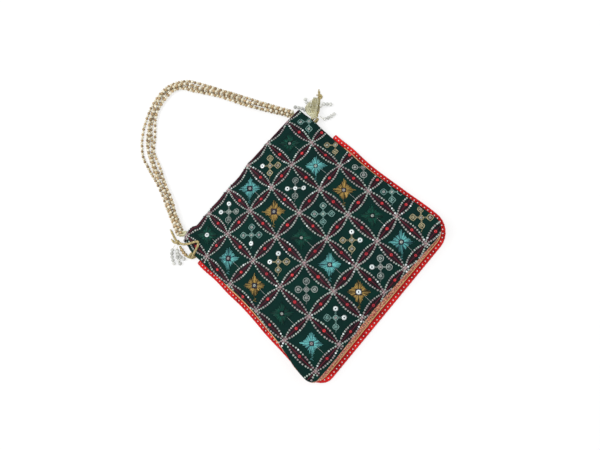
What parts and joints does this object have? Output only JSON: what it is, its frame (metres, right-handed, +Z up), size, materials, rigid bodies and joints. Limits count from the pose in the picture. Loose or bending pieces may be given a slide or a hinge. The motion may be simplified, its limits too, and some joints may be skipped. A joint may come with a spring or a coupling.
{
  "type": "potli bag",
  "caption": "Embroidered drawstring pouch bag with a puffed square body, brocade side band, ring edging, beaded handle and corded tassels, lying on its back.",
  "frame": {"origin": "on the table under the middle of the bag's body, which lies on its back", "axes": "+Z up out of the bag's front, +Y towards the mouth, +X to the right as the front is seen"},
  "size_m": [0.2469, 0.3565, 0.024],
  "materials": {
    "embroidered_cloth": "matt cloth with thread and sequin embroidery",
    "brocade": "woven brocade with a gold thread",
    "red_edging": "satin-stitched ring lace",
    "lining_satin": "satin",
    "handle_beads": "gold-coated and pearl beads",
    "gold_thread": "metallic thread",
    "gold_cord": "twisted metallic cord",
    "gold_bead": "gold-coated bead",
    "crystal": "clear faceted bead"
  },
  "bodies": {
    "root": {"front_panel": "embroidered_cloth", "back_panel": "embroidered_cloth", "gusset_band": "brocade", "scallop_trim": "red_edging", "lining_pouch": "lining_satin", "handle_strand_1": "handle_beads", "handle_strand_2": "handle_beads", "handle_strand_3": "handle_beads", "handle_strand_4": "handle_beads", "handle_strand_5": "handle_beads", "handle_gather_left": "gold_thread", "handle_gather_right": "gold_thread", "drawstring_left": "gold_cord", "drawstring_right": "gold_cord", "drawstring_knot_left": "gold_cord", "drawstring_knot_right": "gold_cord", "cord_bead_1": "gold_bead", "cord_bead_2": "gold_bead", "cord_bead_3": "gold_bead", "crystal_strand_left_1": "crystal", "crystal_strand_left_2": "crystal", "crystal_strand_left_3": "crystal", "crystal_strand_right_1": "crystal", "crystal_strand_right_2": "crystal", "crystal_strand_right_3": "crystal", "crystal_strand_right_4": "crystal", "thread_tassel": "gold_thread"}
  },
  "joints": []
}
